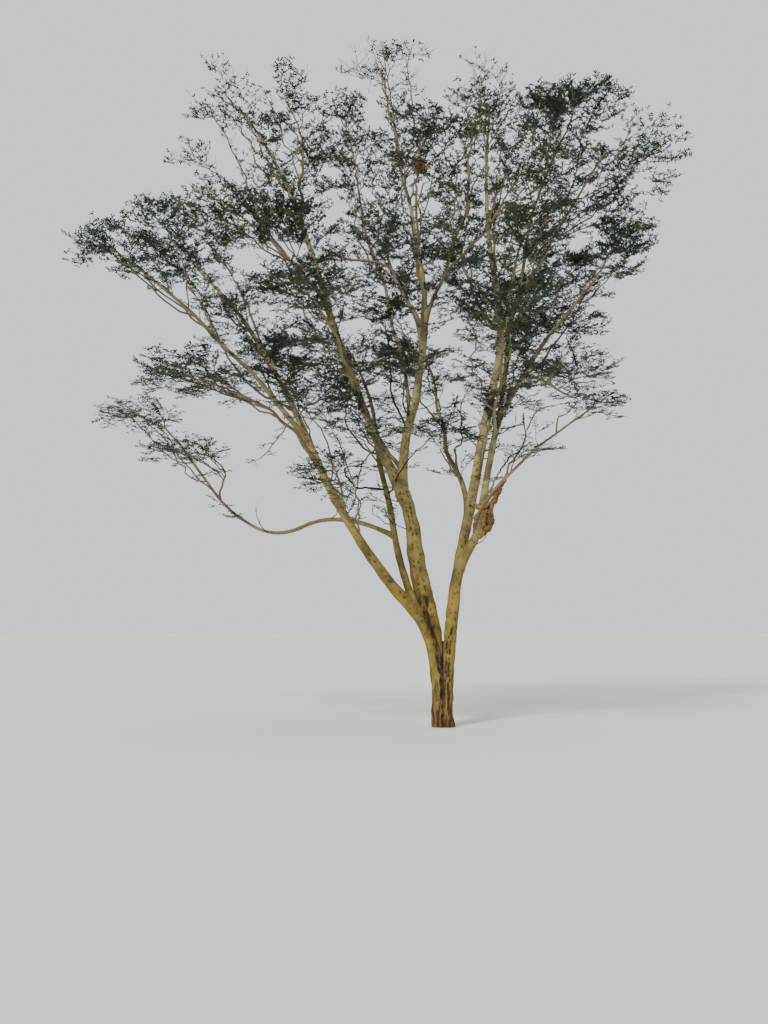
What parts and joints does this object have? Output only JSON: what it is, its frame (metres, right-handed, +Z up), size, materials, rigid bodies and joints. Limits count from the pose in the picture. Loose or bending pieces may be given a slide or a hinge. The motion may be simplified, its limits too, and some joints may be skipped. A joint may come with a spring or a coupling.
{
  "type": "fever acacia tree",
  "caption": "Tall yellow-barked acacia with a trunk of stems grown together, rising boughs and flat layered masses of fine foliage.",
  "frame": {"origin": "middle of the flat cut where the trunk meets the ground", "axes": "+Z up, +X to the viewer's right and +Y away from the viewer of the picture; the crown reaches furthest along -X"},
  "size_m": [16.3445, 12.3243, 17.9679],
  "materials": {
    "trunk_bark": "smooth powdery olive-yellow bark with dark pits and crevices",
    "bough_bark": "smooth pale yellow-green to cream bark",
    "foliage": "matt dark grey-green fine compound leaves on thin grey twigs"
  },
  "bodies": {
    "root": {"trunk": "trunk_bark", "left_stem": "bough_bark", "left_far_bough": "bough_bark", "left_low_bough": "bough_bark", "left_inner_bough": "bough_bark", "slim_stem": "bough_bark", "low_bough": "bough_bark", "low_bough_end": "bough_bark", "low_side_bough": "bough_bark", "middle_stem": "bough_bark", "middle_left_bough": "bough_bark", "left_dense_bough": "bough_bark", "left_top_bough": "bough_bark", "front_shelf_bough": "bough_bark", "middle_right_bough": "bough_bark", "top_bough": "bough_bark", "back_left_bough": "bough_bark", "back_bough": "bough_bark", "front_bough": "bough_bark", "arch_bough": "bough_bark", "front_right_bough": "bough_bark", "right_stem": "bough_bark", "crossing_bough": "bough_bark", "centre_back_bough": "bough_bark", "knee": "bough_bark", "right_bough": "bough_bark", "right_top_bough": "bough_bark", "right_outer_bough": "bough_bark", "right_back_bough": "bough_bark", "right_low_bough": "bough_bark", "right_slender_bough": "bough_bark", "right_front_bough": "bough_bark", "right_front_mid_bough": "bough_bark", "foliage_left_shelf": "foliage", "foliage_far_left": "foliage", "foliage_low_front_left": "foliage", "foliage_inner_left": "foliage", "foliage_back_left_low": "foliage", "foliage_outer_low_left": "foliage", "foliage_lowest_left": "foliage", "foliage_top_left": "foliage", "foliage_dense_left": "foliage", "foliage_inner_top_left": "foliage", "foliage_front_shelf": "foliage", "foliage_top_crown": "foliage", "foliage_back_top": "foliage", "foliage_back_upper": "foliage", "foliage_front_upper": "foliage", "foliage_arch": "foliage", "foliage_front_right_upper": "foliage", "foliage_top_right": "foliage", "foliage_centre_low": "foliage", "foliage_centre_back": "foliage", "foliage_right_clump": "foliage", "foliage_right_low": "foliage", "foliage_front_right_low": "foliage", "foliage_right_top": "foliage", "foliage_right_outer": "foliage", "foliage_front_right_mid": "foliage", "foliage_back_right": "foliage"}
  },
  "joints": []
}
